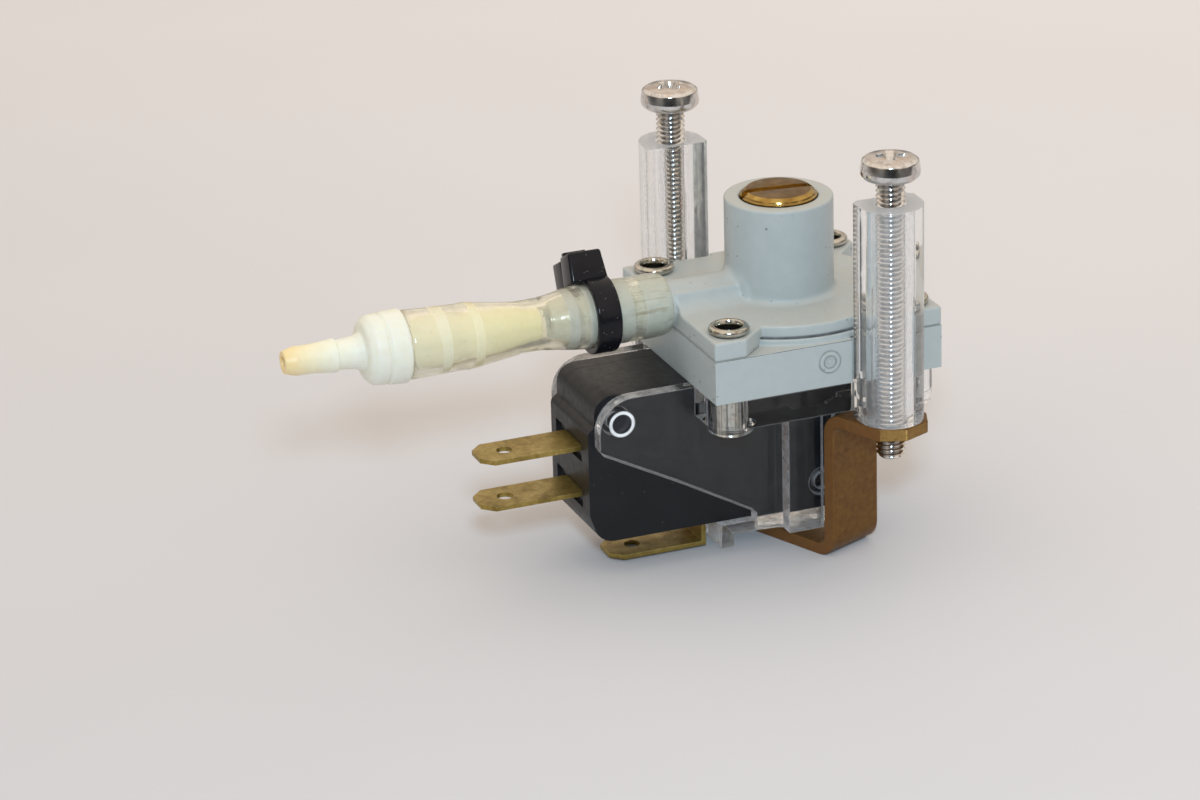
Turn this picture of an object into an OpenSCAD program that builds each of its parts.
// Adjustable diaphragm pressure switch with a snap-action microswitch.
// Frame: origin on the tower axis at the underside of the grey lower body,
// +Z up the tower, the hose port points to -X, the front panel pillar is on
// the -Y side. Millimetres.

/* [Housing] */
// Side of the square housing
housing_w = 24.44; // [24:0.1:25]
// Height of the lower body below the lugs
body_h = 4.56; // [4.4:0.05:4.8]
// Height of the clamp rim's top above the underside
rim_z = 5.2; // [5.1:0.05:5.3]
// Radius of the clamp rim on the lower body
rim_r = 11.85; // [11.6:0.05:12]
// Radius of the round part of the cover
cover_r = 11.4; // [11.2:0.05:11.5]
// Height of the cover's top above the underside
cover_z = 6.47; // [6.4:0.01:6.6]
// Outer radius of the adjuster tower
tower_r = 5.5; // [5.3:0.05:5.8]
// Height of the tower's top above the underside
tower_z = 16.3; // [16:0.1:17]
// Distance of each corner eyelet from the centre lines
eyelet_xy = 9.7; // [9.6:0.05:9.8]
// Inner radius of a corner eyelet
eyelet_ri = 1.275; // [1.2:0.005:1.3]

/* [Adjuster] */
// Radius of the threaded bore for the adjusting screw
adj_bore_r = 3.95; // [3.9:0.01:4]
// Radius of the adjusting screw
adj_r = 3.88; // [3.85:0.01:3.9]
// Angle of the screwdriver slot from the port direction
slot_angle = -7.5; // [-90:0.5:90]
// Number of open turns of the range spring
spring_turns = 5; // [4:0.5:6]
// Wire diameter of the range spring
spring_wire = 0.6; // [0.5:0.05:0.7]
// Mean radius of the range spring
spring_rm = 3.0; // [2.8:0.05:3.1]

/* [Port and hose] */
// Height of the port axis above the underside
port_z = 6.7; // [6.6:0.05:6.9]
// Radius of the half-round port rib
port_rib_r = 2.3; // [2.2:0.05:2.6]
// Radius of the air passage
port_bore_r = 0.9; // [0.7:0.05:1]
// Radius of the land at the tip of the signal barb
signal_land_r = 1.45; // [1.3:0.05:1.5]

/* [Bracket] */
// Thickness of the clear top plate
plate_t = 3.0; // [2.8:0.1:3.2]
// Distance of each pillar axis from the centre along the port direction
pillar_x = 5.95; // [5.9:0.05:6]
// Distance of each pillar axis from the centre across the port direction
pillar_y = 13.66; // [13.6:0.02:13.8]
// Outer radius of a pillar
pillar_r = 3.3; // [3.2:0.02:3.4]
// Height of a pillar's top above the underside
pillar_top = 18.75; // [18:0.25:20]
// Height of a pillar's foot
pillar_foot = -3.8; // [-3.9:0.05:-3.75]
// Radius of the clearance hole through each pillar
pillar_hole_r = 1.6; // [1.55:0.05:1.7]

/* [Strap] */
// Thickness of the strap
strap_t = 1.3; // [1.1:0.05:1.4]
// Width of the strap
strap_w = 6.62; // [6:0.1:7]
// Height of the strap's lowest face
strap_bottom = -19.6; // [-20.4:0.1:-19.5]

/* [Microswitch] */
// Height of the switch case
case_h = 15.7; // [15.6:0.05:15.9]
// Half thickness of the switch case
case_hy = 5.15; // [5.1:0.05:5.2]
// Right end of the case
case_x1 = 4.7; // [4.6:0.05:4.8]
// Left end of the case
case_x0 = -23.1; // [-23.2:0.05:-23]
// Radius of the two mounting holes
case_hole_r = 1.55; // [1.5:0.05:1.6]
// Terminal blade width
blade_w = 4.8; // [4.6:0.1:4.8]
// Terminal blade thickness
blade_t = 0.5; // [0.4:0.05:0.6]

/* [Hidden] */
$fn = 64;

gap = 0.02;            // running gap between neighbouring pieces
half_w = housing_w / 2;

grey = [0.66, 0.70, 0.70];
clear = [0.85, 0.9, 0.92, 0.35];
steel = [0.72, 0.72, 0.70];
gold = [0.72, 0.55, 0.22];
tarnish = [0.55, 0.47, 0.2];
bronze = [0.42, 0.28, 0.15];
copper = [0.8, 0.5, 0.3];
silver = [0.85, 0.85, 0.87];
ivory = [0.85, 0.83, 0.76];
cream = [0.93, 0.91, 0.82];
hose_cream = [0.88, 0.85, 0.7, 0.5];
red = [0.55, 0.12, 0.08];
case_black = [0.13, 0.14, 0.17];
diaphragm_black = [0.12, 0.12, 0.13];
seal_black = [0.06, 0.06, 0.06];
tie_black = [0.03, 0.03, 0.035];

// ---------------------------------------------------------------- helpers
// Points of an arc about a centre, between two angles
function arc(centre, radius, from, to, steps = 6) =
  [for (i = [0:steps]) let (a = from + (to - from) * i / steps)
    centre + radius * [cos(a), sin(a)]];

module ring(outer_r, inner_r, h, fn = 64) {
  difference() {
    cylinder(r = outer_r, h = h, $fn = fn);
    translate([0, 0, -1]) cylinder(r = inner_r, h = h + 2, $fn = fn);
  }
}

// Children's +Z is turned to -Y and starts at the given place
module toward_front(x, y, z) {
  translate([x, y, z]) rotate([90, 0, 0]) children();
}

// Children's +Z is turned to -X and starts at the given place
module toward_port(x, y, z) {
  translate([x, y, z]) rotate([0, -90, 0]) children();
}

// A solid of revolution about the port axis. Points are [distance, radius];
// the distance is measured towards -X from the tower axis
module port_turned(points, fn = 64) {
  toward_port(0, 0, port_z) rotate_extrude($fn = fn)
    polygon([for (p = points) [p[1], p[0]]]);
}

module at_corners() {
  for (sx = [-1, 1], sy = [-1, 1])
    translate([sx * eyelet_xy, sy * eyelet_xy, 0]) children();
}

// Both pillar axes, with +Y turned towards the housing
module at_pillars() {
  for (s = [-1, 1])
    translate([s * pillar_x, -s * pillar_y, 0]) rotate([0, 0, s > 0 ? 0 : 180]) children();
}

// The children and their mirror image on the other side of the X-Z plane
module both_sides() {
  children();
  mirror([0, 1, 0]) children();
}

// ---------------------------------------------------------------- housing
pocket_clear = 0.08;   // pocket clearance on each side of a pillar
pocket_y = 11.45;      // distance of a pocket's flat from the centre
lug_in = 6.0;          // inner edge of a corner lug
lug_flank = 9.45;      // where a lug's 45 degree flank starts
lug_edge = 8.9;        // where that flank meets the housing's edge
button_bore_r = 2.55;  // bore for the pusher button

lug_outline = [[-half_w, -half_w], [-lug_edge, -half_w], [-lug_in, -lug_flank],
  [-lug_in, -lug_in], [-lug_flank, -lug_in], [-half_w, -lug_edge]];
joined_lug_outline = [[-half_w, -half_w], [-lug_edge, -half_w], [-lug_in, -lug_flank],
  [-lug_in, lug_in], [lug_flank, lug_in], [half_w, lug_edge], [half_w, half_w],
  [-half_w, half_w]];

// Barbed stub: [distance, radius]
stub_outline = [[half_w - 1, 0], [half_w - 1, 2.35], [15.4, 2.35], [15.6, 1.9],
  [16.3, 1.9], [16.7, 2.35], [21.4, 2.35], [21.6, 1.9], [22.1, 1.9], [22.4, 2.35],
  [23.4, 2.3], [25.1, 1.65], [25.1, 0]];

// Pockets in the housing's front and rear faces that the pillars stand in
module pillar_pockets() {
  half = pillar_r + pocket_clear;
  at_pillars() translate([-half, -3, -1]) cube([2 * half, 3 + pillar_y - pocket_y, 12]);
}

// Clearance holes for the corner eyelets
module eyelet_holes(z) {
  at_corners() translate([0, 0, z]) cylinder(r = 1.65, h = 12, $fn = 32);
}

// Lug of the cover, cut back round the lower body's rim
module lug(outline) {
  difference() {
    translate([0, 0, body_h]) linear_extrude(cover_z - body_h) polygon(outline);
    translate([0, 0, body_h - 1]) cylinder(r = rim_r + 0.03, h = rim_z - body_h + 1, $fn = 128);
  }
}

module upper_cover() {
  color(grey) difference() {
    union() {
      translate([0, 0, rim_z]) cylinder(r = cover_r, h = cover_z - rim_z, $fn = 128);
      for (a = [0:90:270]) rotate([0, 0, a]) lug(lug_outline);
      // on the port side and at the rear the lugs run together along the edge
      lug(joined_lug_outline);
      translate([0, 0, rim_z + 0.3])
        cylinder(r = tower_r, h = tower_z - rim_z - 0.3, $fn = 96);
      // half-round rib that carries the port
      intersection() {
        translate([-half_w, 0, port_z]) rotate([0, 90, 0])
          cylinder(r = port_rib_r, h = half_w - 3);
        translate([-half_w, -5, rim_z]) cube([half_w, 10, 8]);
      }
      difference() {
        port_turned(stub_outline);
        translate([-half_w - 0.02, -5, 0]) cube([3, 10, rim_z]);
      }
    }
    // room above the diaphragm, and for the spring
    translate([0, 0, rim_z - 1]) cylinder(r = 8.6, h = 1.55, $fn = 96);
    translate([0, 0, rim_z]) cylinder(r = 4.2, h = 4.3);
    // adjuster bore, flared at the top
    translate([0, 0, rim_z + 3]) cylinder(r = adj_bore_r, h = 12, $fn = 96);
    translate([0, 0, tower_z - 0.25])
      cylinder(r1 = adj_bore_r, r2 = adj_bore_r + 0.3, h = 0.26, $fn = 96);
    // air passage
    toward_port(-4, 0, port_z) cylinder(r = port_bore_r, h = 25, $fn = 32);
    eyelet_holes(-1);
    pillar_pockets();
  }
}

module lower_body() {
  color(grey) difference() {
    union() {
      translate([-half_w, -half_w, 0]) cube([housing_w, housing_w, body_h]);
      // clamp rim, trimmed to the housing's square
      intersection() {
        translate([0, 0, body_h - 0.5])
          cylinder(r = rim_r, h = rim_z - body_h + 0.5, $fn = 128);
        translate([-half_w, -half_w, 0]) cube([housing_w, housing_w, 8]);
      }
      // moulding gate ring on the front face
      toward_front(0, -half_w + 0.5, 2.6) difference() {
        cylinder(r = 0.9, h = 0.58, $fn = 32);
        translate([0, 0, 0.4]) cylinder(r = 0.6, h = 1, $fn = 32);
      }
    }
    // room below the diaphragm, clamp seat, bead groove
    translate([0, 0, 1.8]) cylinder(r = 9.0, h = 6, $fn = 96);
    translate([0, 0, rim_z - 0.5]) cylinder(r = cover_r + gap, h = 2, $fn = 128);
    translate([0, 0, rim_z - 1]) ring(10.62, 9.78, 2, 96);
    translate([0, 0, -1]) cylinder(r = button_bore_r, h = 8);
    // vent to the outside
    toward_port(-7.3, 4.5, 2.9) cylinder(r = 0.5, h = 6, $fn = 24);
    eyelet_holes(-1);
    pillar_pockets();
  }
  // guide collar round the pusher button
  color(grey) ring(3.6, button_bore_r, 2.4);
}

// Tubular rivets that hold the cover, body and bracket together
module corner_eyelets() {
  wall = 0.345;
  head_r = 0.42;
  foot_z = -4.1;
  color(steel) at_corners() rotate_extrude($fn = 48) difference() {
    union() {
      translate([eyelet_ri, foot_z]) square([wall, 11]);
      // rolled head
      translate([eyelet_ri + wall, cover_z + head_r]) intersection() {
        circle(r = head_r, $fn = 32);
        translate([-wall, -0.5]) square([1, 1]);
      }
      translate([eyelet_ri, cover_z]) square([0.55, 0.5]);
      // rolled foot
      translate([eyelet_ri, foot_z]) square([0.41, 0.35]);
    }
    // keep the bore open through the head
    translate([0, cover_z - 0.001 - 3]) square([eyelet_ri, 8]);
  }
}

// ------------------------------------------------------------- diaphragm
diaphragm_bore_r = 1.22;  // hole in the diaphragm and its plate
plate_z = 3.72;           // underside of the diaphragm plate

// Half section with a rolled convolution: [radius, z]
diaphragm_outline = concat(
  [[diaphragm_bore_r, 3.3], [5.9, 3.3]],
  arc([7.45, 3.05], 1.35, 150, 30, 8),
  [[8.8, 4.15], [8.96, rim_z - 0.5], [11.35, rim_z - 0.5], [11.35, rim_z], [9.2, rim_z],
   [8.75, 4.95]],
  arc([7.45, 3.4], 1.45, 30, 150, 8),
  [[5.9, 3.7], [diaphragm_bore_r, 3.7]]);

module diaphragm() {
  color(diaphragm_black) rotate_extrude($fn = 96) union() {
    polygon(diaphragm_outline);
    // bead
    translate([9.83, rim_z - 0.95]) square([0.74, 0.7]);
  }
}

module diaphragm_plate() {
  color(silver) difference() {
    union() {
      translate([0, 0, plate_z]) cylinder(r = 5.4, h = 0.6);
      translate([0, 0, plate_z]) cylinder(r = 2.3, h = 1.5);
    }
    translate([0, 0, 3]) cylinder(r = diaphragm_bore_r, h = 5, $fn = 32);
  }
}

// Pusher under the diaphragm, its stud riveted over the plate
module pusher_button() {
  stud_r = 1.2;
  color(ivory) union() {
    translate([0, 0, 0.66]) cylinder(r = 2.5, h = 2.2);
    translate([0, 0, 2.62]) cylinder(r = 4.6, h = 0.66);
    translate([0, 0, 2.7]) cylinder(r = stud_r, h = 2.9, $fn = 32);
    translate([0, 0, 5.24]) cylinder(r1 = 1.8, r2 = stud_r, h = 0.4, $fn = 32);
  }
}

// --------------------------------------------------------------- adjuster
spring_z0 = 4.36;         // bottom of the range spring
spring_z1 = 10.96;        // top of the range spring
end_turns = 0.75;         // closed turns at each end of the spring
coil_turns = spring_turns + 2 * end_turns;
closed_pitch = spring_wire + gap;
open_pitch = (spring_z1 - spring_z0 - spring_wire - 2 * end_turns * closed_pitch)
  / spring_turns;

// Height of the spring's wire centre after a number of turns from the bottom
function coil_z(turn) =
  let (closed = min(turn, end_turns) + max(0, turn - (coil_turns - end_turns)))
  spring_z0 + spring_wire / 2 + closed * closed_pitch + (turn - closed) * open_pitch;

// Helix with closed ends: rings of points round the wire, joined into a tube
module range_spring() {
  wire_r = spring_wire / 2;
  per_turn = 24;
  sides = 8;
  steps = floor(coil_turns * per_turn);
  points = [for (i = [0:steps], k = [0:sides - 1])
    let (turn = i / per_turn, a = 360 * turn, q = 360 * k / sides,
      r = spring_rm + wire_r * cos(q))
    [r * cos(a), r * sin(a), coil_z(turn) + wire_r * sin(q)]];
  walls = [for (i = [0:steps - 1], k = [0:sides - 1]) let (next = (k + 1) % sides)
    [i * sides + k, i * sides + next, (i + 1) * sides + next, (i + 1) * sides + k]];
  caps = [
    [for (k = [0:sides - 1]) sides - 1 - k],
    [for (k = [0:sides - 1]) steps * sides + k]];
  color(steel) polyhedron(points = points, faces = concat(walls, caps), convexity = 10);
}

module upper_spring_seat() {
  color(gold) union() {
    translate([0, 0, 11]) cylinder(r = 3.8, h = 0.9);
    translate([0, 0, 10.0]) cylinder(r = 2.3, h = 1.2);
  }
}

groove_z = 12.6;          // underside of the seal groove
groove_h = 0.95;

module adjusting_screw() {
  bottom = 11.95;
  shoulder = tower_z + 0.1;
  slot_w = 1.0;
  color(gold) difference() {
    union() {
      translate([0, 0, bottom]) cylinder(r = adj_r, h = shoulder - bottom, $fn = 96);
      // chamfered top standing a little above the tower
      translate([0, 0, shoulder]) cylinder(r1 = adj_r, r2 = 3.1, h = 0.6, $fn = 96);
    }
    // screwdriver slot
    translate([0, 0, tower_z]) rotate([0, 0, slot_angle])
      translate([-5, -slot_w / 2, -0.4]) cube([10, slot_w, 3]);
    translate([0, 0, groove_z]) ring(5, 3.05, groove_h);
  }
}

module adjuster_o_ring() {
  color(seal_black) translate([0, 0, groove_z + groove_h / 2]) rotate_extrude($fn = 64)
    translate([3.5, 0]) circle(r = 0.43, $fn = 24);
}

// ---------------------------------------------------------- clear bracket
pillar_flat_y = 11.55;    // distance of a pillar's flat from the centre
cheek_y = 5.2;            // inner face of each cheek
cheek_t = 1.5;
cheek_bottom = -16.9;
floor_t = -cheek_bottom - case_h - gap;
mount_holes = [[-20.3, -2.57], [1.9, -12.87]];  // switch mounting holes: [x, z]

// D-shaped section of a pillar; the flat faces the housing
module pillar_section() {
  flat = pillar_y - pillar_flat_y;
  chamfer = 0.5;
  intersection() {
    circle(r = pillar_r, $fn = 64);
    translate([-10, -10]) square([20, 10]);
  }
  polygon([[-pillar_r, -0.01], [pillar_r, -0.01], [pillar_r, flat - chamfer],
    [pillar_r - chamfer, flat], [-pillar_r + chamfer, flat], [-pillar_r, flat - chamfer]]);
}

// Side profile of a cheek: [x, z]
cheek_outline = concat(
  [[-11, 0], [-11, -gap], [3.0, -gap], [3.0, cheek_bottom], [-2.4, cheek_bottom],
   [-3.4, -16.75]],
  arc([-4.8, -15.8], 0.9, -80, -178, 6),
  [[-5.7, -14.7], [-14, -10.0], [-22.05, -5.75]],
  arc([-21.7, -5.0], 0.7, 220, 180, 3),
  arc([-18.8, -3.6], 3.6, 180, 90, 10));

// Plan of the wall on the front cheek: [x, y] from its front left corner
front_wall_outline = [[0, 0], [3.75, 0], [3.75, 0.9], [5.2, 1.62], [5.2, 3.05], [0, 3.05]];

module cheek() {
  toward_front(0, -cheek_y, 0) linear_extrude(cheek_t) polygon(cheek_outline);
}

// Trims the plate's corners round the eyelet axes
module corner_rounding() {
  for (sx = [-1, 1], sy = [-1, 1])
    translate([sx * eyelet_xy, sy * eyelet_xy, -6]) difference() {
      translate([sx > 0 ? 0 : -5, sy > 0 ? 0 : -5, 0]) cube([5, 5, 8]);
      translate([0, 0, -1]) cylinder(r = 2.4, h = 10, $fn = 48);
    }
}

module clear_bracket() {
  outer_y = cheek_y + cheek_t;
  color(clear) difference() {
    union() {
      // top plate and corner bosses
      translate([-half_w, -half_w, -plate_t]) cube([housing_w, housing_w, plate_t]);
      at_corners() translate([0, 0, -3.75]) cylinder(r = 2.3, h = 3.75, $fn = 48);
      // pillars and their joints to the plate
      at_pillars() {
        translate([0, 0, pillar_foot]) linear_extrude(pillar_top - pillar_foot)
          pillar_section();
        translate([-pillar_r, 0, -plate_t]) cube([2 * pillar_r, 3, plate_t]);
      }
      // cheeks that grip the switch
      both_sides() cheek();
      // thicker wall that stiffens the front cheek
      translate([-2.8, -8.3, cheek_bottom]) linear_extrude(-cheek_bottom - 0.5)
        polygon(front_wall_outline);
      // floor under the switch with two ribs
      translate([-2.8, -outer_y, cheek_bottom]) cube([5.8, 2 * outer_y, floor_t]);
      translate([-9.4, -6.2, cheek_bottom]) cube([7, 12.4, floor_t]);
      for (y = [-6.2, 1.8]) translate([-9.4, y, -18.2]) cube([1.4, 4.4, 1.5]);
    }
    // slot for the switch
    translate([-half_w - 1, -cheek_y, -8])
      cube([half_w + 1 + case_x1 + 0.06, 2 * cheek_y, 10]);
    at_pillars() translate([0, 0, -10]) cylinder(r = pillar_hole_r, h = 40, $fn = 48);
    eyelet_holes(-6);
    corner_rounding();
  }
  // hollow spigots that enter the switch's mounting holes
  color(clear) both_sides() for (p = mount_holes)
    toward_front(p[0], -4.2, p[1]) ring(1.52, 0.95, 2.5, 48);
}

// ------------------------------------------------------------------ strap
// Local frame of the strap: origin on the front pillar's axis, Y towards
// the rear pillar, X across the strap's width
strap_angle = atan2(2 * pillar_x, 2 * pillar_y);
strap_span = 2 * sqrt(pillar_x * pillar_x + pillar_y * pillar_y);
strap_top = pillar_foot - gap;
strap_leg_y = 4.76;       // outer face of each leg, from the pillar's axis
strap_flange_y = 3.0;     // where a flange joins the bent part
strap_bend_r = 2.2;       // outer radius of the bends

// Flat end with the screw hole, chamfered at its far corners
module strap_flange() {
  half = strap_w / 2;
  translate([0, 0, strap_top - strap_t]) linear_extrude(strap_t)
    polygon([[-1.38, -3.3], [1.8, -3.3], [half, -1.8], [half, 3.05], [-half, 3.05],
      [-half, -1.35]]);
}

// Side view of the bent part between the flanges, drawn as two mirrored halves
module strap_profile() {
  knee = [strap_leg_y + strap_t - strap_bend_r, strap_top - strap_bend_r];
  bend = [strap_leg_y + strap_bend_r, strap_bottom + strap_bend_r];
  for (m = [0, 1]) translate([m * strap_span, 0]) mirror([m, 0]) difference() {
    union() {
      // knee with its convex side up
      translate(knee) intersection() {
        circle(r = strap_bend_r);
        square(10);
      }
      // leg
      translate([strap_leg_y, bend[1]]) square([strap_t, knee[1] - bend[1]]);
      // lower bend
      translate(bend) intersection() {
        circle(r = strap_bend_r);
        translate([-10, -10]) square(10);
      }
      // half of the floor
      translate([bend[0] - 0.001, strap_bottom])
        square([strap_span / 2 - bend[0] + 0.01, strap_t]);
      // run from the flange to the knee
      translate([strap_flange_y, strap_top - strap_t])
        square([knee[0] - strap_flange_y + 0.001, strap_t]);
    }
    for (p = [knee, bend]) translate(p) circle(r = strap_bend_r - strap_t);
  }
}

module retaining_strap() {
  color(bronze) translate([pillar_x, -pillar_y, 0]) rotate([0, 0, strap_angle]) difference() {
    union() {
      translate([-strap_w / 2, 0, 0]) rotate([90, 0, 90]) linear_extrude(strap_w)
        strap_profile();
      strap_flange();
      translate([0, strap_span, 0]) rotate([0, 0, 180]) strap_flange();
    }
    for (y = [0, strap_span]) translate([0, y, -10]) cylinder(r = 1.53, h = 10, $fn = 48);
  }
}

// --------------------------------------------------------- panel screws
// Head with rounded skirt, slightly tapering side and low crown: [radius, z]
screw_head_outline = concat([[0, 0]], arc([2.35, 0.6], 0.6, -90, 0, 5),
  [[2.93, 1.2], [2.83, 1.9], [2.6, 2.06], [1.7, 2.26], [0, 2.36]]);

// Pan head with a cross recess; origin under the head
module panel_screw() {
  length = 29.0;
  shank_r = 1.48;
  tip_h = 0.3;
  recess_w = 0.54;
  color(steel) difference() {
    union() {
      translate([0, 0, -length]) cylinder(r = shank_r, h = length + 0.2, $fn = 48);
      translate([0, 0, -length - tip_h]) cylinder(r1 = 1.15, r2 = shank_r, h = tip_h, $fn = 48);
      rotate_extrude($fn = 96) polygon(screw_head_outline);
    }
    // cross recess with a tapering bottom
    for (a = [0, 90]) rotate([0, 0, a - 21])
      translate([-1.5, -recess_w / 2, 1.1]) cube([3.0, recess_w, 3]);
    translate([0, 0, 0.8]) cylinder(r1 = 0.25, r2 = 0.85, h = 1.7, $fn = 32);
  }
}

module front_panel_screw() {
  translate([pillar_x, -pillar_y, 21.4]) panel_screw();
}

module rear_panel_screw() {
  translate([-pillar_x, pillar_y, 22.35]) rotate([0, 0, 35]) panel_screw();
}

// ------------------------------------------------------------ microswitch
lid_y = 3.2;              // joint between the case and its cover
shoulder_x = -22.4;       // shoulder at the terminal end of the case
closed_z = -6.3;          // closed terminal
open_z = -11.25;          // open terminal
moving_z = -8.6;          // moving blade
common_x = -10;           // upright part of the common terminal
contact_x = -17.8;
slot_hy = 2.45;           // half width of the terminal slots
slot_fit = 0.03;          // slot clearance on each face of a blade
pivot = [2.0, -8.7];      // rolled end of the moving blade: [x, z]

// Outline of the case with rounded corners: [x, z]
case_outline = concat(
  arc([case_x1 - 1.2, -case_h + 1.2], 1.2, -90, 0, 5),
  arc([case_x1 - 1.2, -1.2 - gap], 1.2, 0, 90, 5),
  arc([shoulder_x + 1.9, -1.9 - gap], 1.9, 90, 180, 6),
  [[shoulder_x, -3.1]],
  arc([case_x0 + 0.7, -4.0], 0.7, 110, 180, 3),
  [[case_x0, -12.6]],
  arc([case_x0 + 2.6, -case_h + 2.2], 2.2, 190, 270, 6));

// Openings that the case and its cover share
module case_openings() {
  for (p = mount_holes) toward_front(p[0], 10, p[1])
    cylinder(r = case_hole_r, h = 20, $fn = 48);
  // plunger guide
  translate([0, 0, -3]) cylinder(r = 1.32, h = 5, $fn = 48);
  // relief at each terminal mouth, reaching 0.6 into the cover
  for (z = [closed_z, open_z]) translate([-24.2, -3.2, z - 1.1])
    cube([1.5, lid_y + 0.6 + 3.2, 2.2]);
}

// Mechanism cavity, leaving bosses round the holes and ledges for the terminals
module case_cavity() {
  difference() {
    translate([-21.4, -3.5, -14.3]) cube([24.6, lid_y + 3.5 + 1, 12.8]);
    for (p = mount_holes) toward_front(p[0], 10, p[1]) cylinder(r = 2.6, h = 20);
    translate([-22, -5, closed_z - blade_t / 2 - 0.9]) cube([2.4, 10, 1.8]);
    translate([-22, -5, open_z - 1.2]) cube([2.4, 10, 2.2]);
    translate([-11.4, -5, -15]) cube([3.2, 10, 2.2]);
  }
}

module switch_case() {
  slot_t = blade_t + 2 * slot_fit;
  slot_y = lid_y + slot_hy + 1;
  color(case_black) difference() {
    toward_front(0, lid_y, 0) linear_extrude(lid_y + case_hy) polygon(case_outline);
    case_cavity();
    case_openings();
    // slots for the terminals
    for (z = [closed_z, open_z]) translate([-25, -slot_hy, z - slot_t / 2])
      cube([8, slot_y, slot_t]);
    translate([common_x - slot_fit, -slot_hy, -20]) cube([slot_t, slot_y, 10]);
  }
}

module switch_case_cover() {
  tongue_t = blade_t + 0.02;
  color(case_black) difference() {
    union() {
      toward_front(0, case_hy, 0) linear_extrude(case_hy - lid_y) polygon(case_outline);
      // tongues that close the terminal slots behind the blades
      for (z = [closed_z, open_z]) translate([-22.5, slot_hy, z - tongue_t / 2])
        cube([2.6, 0.8, tongue_t]);
    }
    case_openings();
  }
}

module switch_plunger() {
  stem_r = 1.0;
  color(red) union() {
    translate([0, 0, -3.4]) cylinder(r = 1.27, h = 4.02, $fn = 48);
    translate([0, 0, -4.4]) cylinder(r = 2.1, h = 1.5, $fn = 48);
    translate([0, 0, -8.3]) cylinder(r = stem_r, h = 4.2, $fn = 32);
    translate([0, 0, -8.42]) cylinder(r1 = 0.6, r2 = stem_r, h = 0.13, $fn = 32);
  }
}

// Moving blade with a rolled pivot end, a window for the snap spring and a
// hole for the moving contact
module contact_blade() {
  width = 3.4;
  color(copper) difference() {
    union() {
      translate([-19, -width / 2, moving_z - 0.1]) cube([21, width, 0.2]);
      toward_front(pivot[0], width / 2, pivot[1]) cylinder(r = 0.4, h = width, $fn = 32);
    }
    translate([-12.8, -0.95, moving_z - 1]) cube([8.4, 1.9, 2]);
    translate([contact_x, 0, moving_z - 1]) cylinder(r = 0.62, h = 2, $fn = 24);
  }
}

module contact_disc(z, h = 0.45) {
  translate([contact_x, 0, z]) cylinder(r = 1.15, h = h, $fn = 32);
}

// Disc above and below the blade, joined by a rivet
module moving_contact() {
  color(silver) union() {
    contact_disc(moving_z + 0.11);
    translate([contact_x, 0, moving_z - 0.3]) cylinder(r = 0.6, h = 0.6, $fn = 24);
    contact_disc(moving_z - 0.56);
  }
}

// Bowed snap spring standing in the blade's window
module snap_spring() {
  width = 1.6;
  color(steel) toward_front(-8.6, width / 2, moving_z) linear_extrude(width) intersection() {
    translate([0, -3.1]) difference() {
      circle(r = 5.2, $fn = 96);
      circle(r = 5.05, $fn = 96);
    }
    translate([-4.1, 0]) square([8.2, 4]);
  }
}

module closed_contact() {
  color(silver) contact_disc(closed_z - blade_t / 2 - 0.46);
}

module open_contact() {
  color(silver) contact_disc(open_z + blade_t / 2 + 0.01, 1.76);
}

// Flat blade from its chamfered outer tip to its inner end, with a small hole
module blade(tip_x, inner_x, z) {
  chamfer = 1.2;
  half = blade_w / 2;
  translate([0, 0, z - blade_t / 2]) difference() {
    linear_extrude(blade_t) polygon([
      [tip_x, -half + chamfer], [tip_x + chamfer, -half], [inner_x, -half],
      [inner_x, half], [tip_x + chamfer, half], [tip_x, half - chamfer]]);
    translate([tip_x + 3, 0, -1]) cylinder(r = 0.8, h = 3, $fn = 32);
  }
}

module closed_terminal() {
  color(tarnish) blade(-33.1, -16.3, closed_z);
}

module open_terminal() {
  color(tarnish) blade(-33.2, -16.3, open_z);
}

module common_terminal() {
  z = -19.0;
  ledge_w = 3.6;
  color(tarnish) difference() {
    union() {
      blade(-19.7, common_x + blade_t, z);
      translate([common_x, -blade_w / 2, z - blade_t / 2]) cube([blade_t, blade_w, 9.5]);
      // inner ledge and post that carry the moving blade's pivot
      translate([common_x, -ledge_w / 2, -10]) cube([13, ledge_w, 0.5]);
      translate([1.4, -ledge_w / 2, -10]) cube([1.2, ledge_w, 1.08]);
    }
    toward_front(pivot[0], 2.5, pivot[1]) cylinder(r = 0.43, h = 5, $fn = 32);
  }
}

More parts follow.
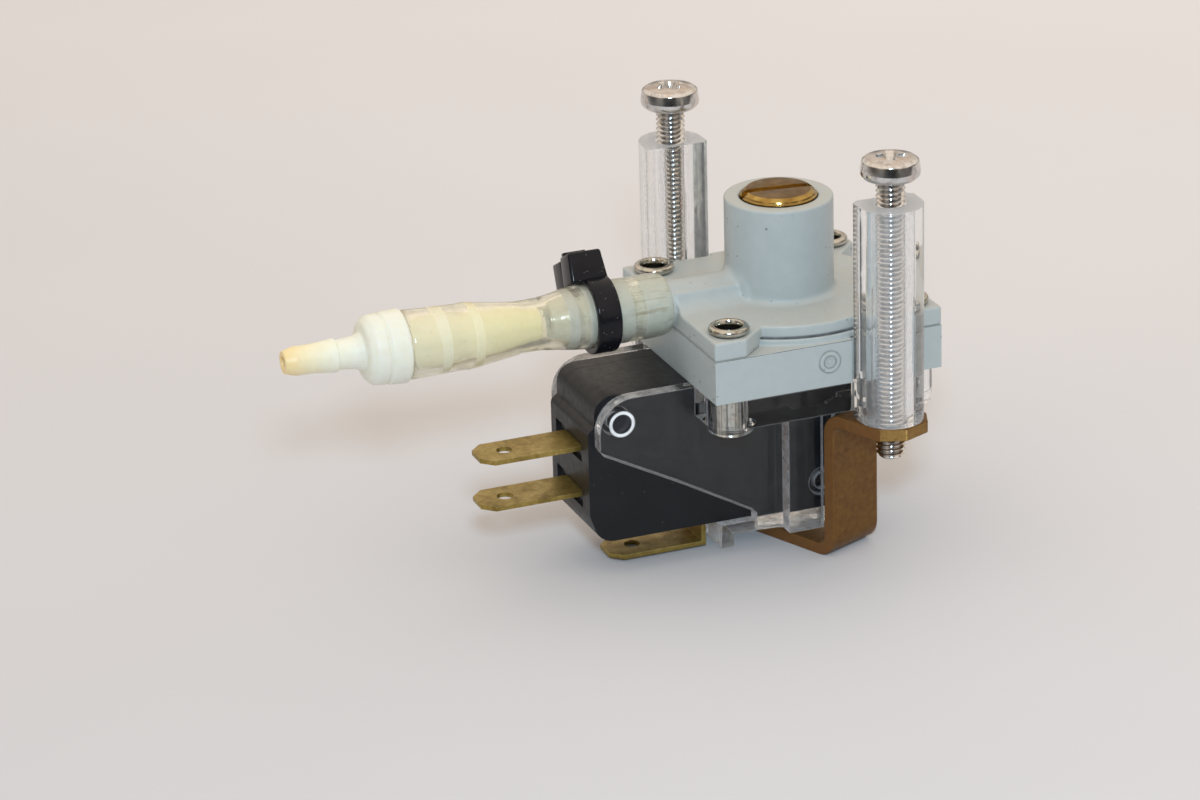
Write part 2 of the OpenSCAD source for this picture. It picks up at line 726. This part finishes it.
// ------------------------------------------------------ hose and fittings
// Outside then inside of the hose: [distance, radius]
hose_outline = [
  [half_w + 0.05, 2.38], [half_w + 0.05, 3.15], [half_w + 0.2, 3.2], [22, 3.2],
  [23.7, 2.95], [26.1, 2.6], [28.3, 2.6], [30.2, 2.85], [33.8, 3.35], [37.4, 3.42],
  [40.15, 3.5],
  [40.15, 2.63], [36.0, 2.63], [34.4, 2.57], [33.8, 2.5], [30.0, 2.15], [26.0, 1.75],
  [25.3, 1.72], [24.3, 2.2], [23.4, 2.38]];

// Barb in the hose, flange, signal barb and stepped bore: [distance, radius]
reducer_outline = [
  [26.2, 1.05], [26.2, 1.6], [30.0, 2.1], [33.6, 2.46], [33.7, 2.2], [34.6, 2.2],
  [36.0, 2.58], [40.25, 2.58], [40.25, 3.6], [40.45, 3.72], [42.2, 3.62], [42.45, 3.42],
  [42.7, 3.56], [43.6, 3.5], [44.2, 3.1], [44.45, 2.5], [44.45, 1.95], [45.3, 1.62],
  [47.2, 1.45], [47.2, 1.7], [49.6, signal_land_r], [51.4, signal_land_r],
  [52.5, 1.15], [52.5, 0.6], [43, 0.6], [40, 1.05]];

module inlet_hose() {
  color(hose_cream) port_turned(hose_outline, 96);
}

module hose_tie() {
  tie_x = -19.75;
  band_w = 2.6;
  color(tie_black) {
    toward_port(tie_x + band_w / 2, 0, port_z) ring(3.95, 3.22, band_w, 96);
    // head with a stepped rear and the cut end of the band
    translate([tie_x - 0.65, 0, port_z]) rotate([-28, 0, 0]) difference() {
      union() {
        translate([-1.85, -1.8, 3.0]) cube([3.7, 2.9, 3.3]);
        translate([-1.8, 1.0, 3.0]) cube([3.6, 2.6, 2.95]);
        translate([-1.6, 0.3, 3.0]) cube([2.5, 0.7, 3.65]);
      }
      translate([-5, 0, 0]) rotate([0, 90, 0]) cylinder(r = 3.3, h = 10, $fn = 96);
    }
  }
}

module inlet_reducer() {
  color(cream) port_turned(reducer_outline);
}

upper_cover();
lower_body();
diaphragm();
diaphragm_plate();
pusher_button();
range_spring();
upper_spring_seat();
adjusting_screw();
adjuster_o_ring();
clear_bracket();
corner_eyelets();
retaining_strap();
front_panel_screw();
rear_panel_screw();
switch_case();
switch_case_cover();
switch_plunger();
contact_blade();
moving_contact();
snap_spring();
closed_contact();
open_contact();
common_terminal();
closed_terminal();
open_terminal();
inlet_hose();
hose_tie();
inlet_reducer();
